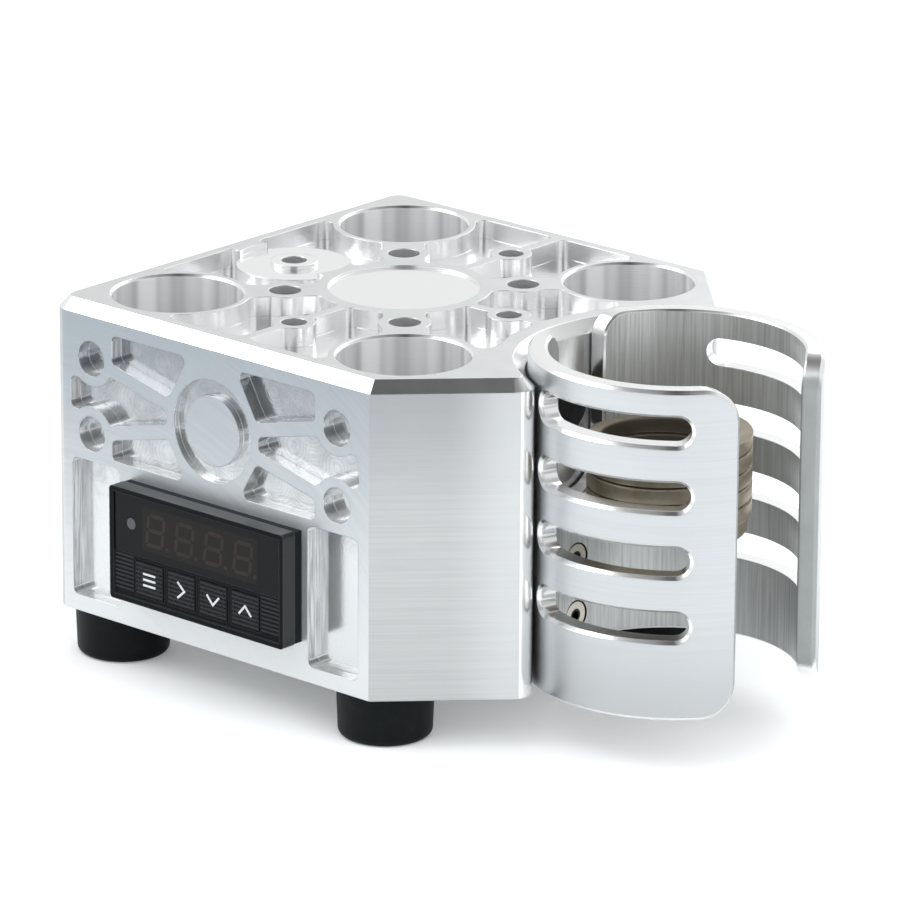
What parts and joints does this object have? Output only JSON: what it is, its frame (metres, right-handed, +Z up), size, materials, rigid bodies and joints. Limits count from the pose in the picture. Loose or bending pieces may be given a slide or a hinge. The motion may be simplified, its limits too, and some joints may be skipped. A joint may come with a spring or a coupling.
{
  "type": "dry block heater",
  "caption": "Milled aluminium dry block heater with round wells, a panel temperature controller and a coil heater in a slotted guard, on rubber feet.",
  "frame": {"origin": "centre of the footprint, on the floor under the feet", "axes": "+X from the block to the coil guard, -Y the controller's side, +Z up"},
  "size_m": [0.1485, 0.1138, 0.0791],
  "materials": {
    "block_metal": "machined, bright",
    "guard_metal": "brushed, satin",
    "coil_metal": "heat-tinted sheath, satin",
    "screw_metal": "plain",
    "foot_rubber": "matt",
    "bezel_plastic": "fine matt",
    "gasket_rubber": "matt",
    "window_plastic": "gloss, tinted",
    "digit_plastic": "unlit segments",
    "lamp_plastic": "unlit",
    "key_plastic": "ribbed matt",
    "inner_plastic": "plain",
    "board": "plain",
    "mat_rubber": "matt",
    "winding_case": "plain",
    "bush_plastic": "matt",
    "cover_metal": "plain",
    "sheath_metal": "plain",
    "pin_metal": "plated"
  },
  "bodies": {
    "heater": {"heater_block": "block_metal", "block_base": "block_metal", "base_screws": "screw_metal", "coil_guard": "guard_metal", "guard_screws": "screw_metal", "coil_heater": "coil_metal", "coil_lead_bushing": "bush_plastic", "foot_front_left": "foot_rubber", "foot_front_right": "foot_rubber", "foot_rear_left": "foot_rubber", "foot_rear_right": "foot_rubber", "foot_screws": "screw_metal", "bottom_cover": "cover_metal", "cover_screws": "screw_metal", "controller_bezel": "bezel_plastic", "display_window": "window_plastic", "status_led": "lamp_plastic", "digit_display": "digit_plastic", "controller_gasket": "gasket_rubber", "keypad_mat": "mat_rubber", "display_board": "board", "controller_case": "inner_plastic", "controller_clamp": "inner_plastic", "main_board": "board", "transformer": "winding_case", "terminal_block": "inner_plastic", "cartridge_heaters": "sheath_metal", "temperature_probe": "sheath_metal", "thermal_cutout": "sheath_metal", "power_inlet": "inner_plastic", "inlet_pins": "pin_metal", "switch_housing": "inner_plastic"},
    "key_menu": {"key_menu": "key_plastic"},
    "key_shift": {"key_shift": "key_plastic"},
    "key_down": {"key_down": "key_plastic"},
    "key_up": {"key_up": "key_plastic"},
    "power_rocker": {"power_rocker": "inner_plastic"}
  },
  "joints": [
    {"name": "key_menu_push", "type": "slide", "parent": "heater", "child": "key_menu", "axis": [0, 1, 0], "range_m": [0, 0.0004], "stiffness_N_per_m": 1500},
    {"name": "key_shift_push", "type": "slide", "parent": "heater", "child": "key_shift", "axis": [0, 1, 0], "range_m": [0, 0.0004], "stiffness_N_per_m": 1500},
    {"name": "key_down_push", "type": "slide", "parent": "heater", "child": "key_down", "axis": [0, 1, 0], "range_m": [0, 0.0004], "stiffness_N_per_m": 1500},
    {"name": "key_up_push", "type": "slide", "parent": "heater", "child": "key_up", "axis": [0, 1, 0], "range_m": [0, 0.0004], "stiffness_N_per_m": 1500},
    {"name": "power_rocker_tilt", "type": "hinge", "parent": "heater", "child": "power_rocker", "pos_m": [-0.01173, 0.05357, 0.0266], "axis": [1, 0, 0], "range_deg": [0, 16]}
  ]
}
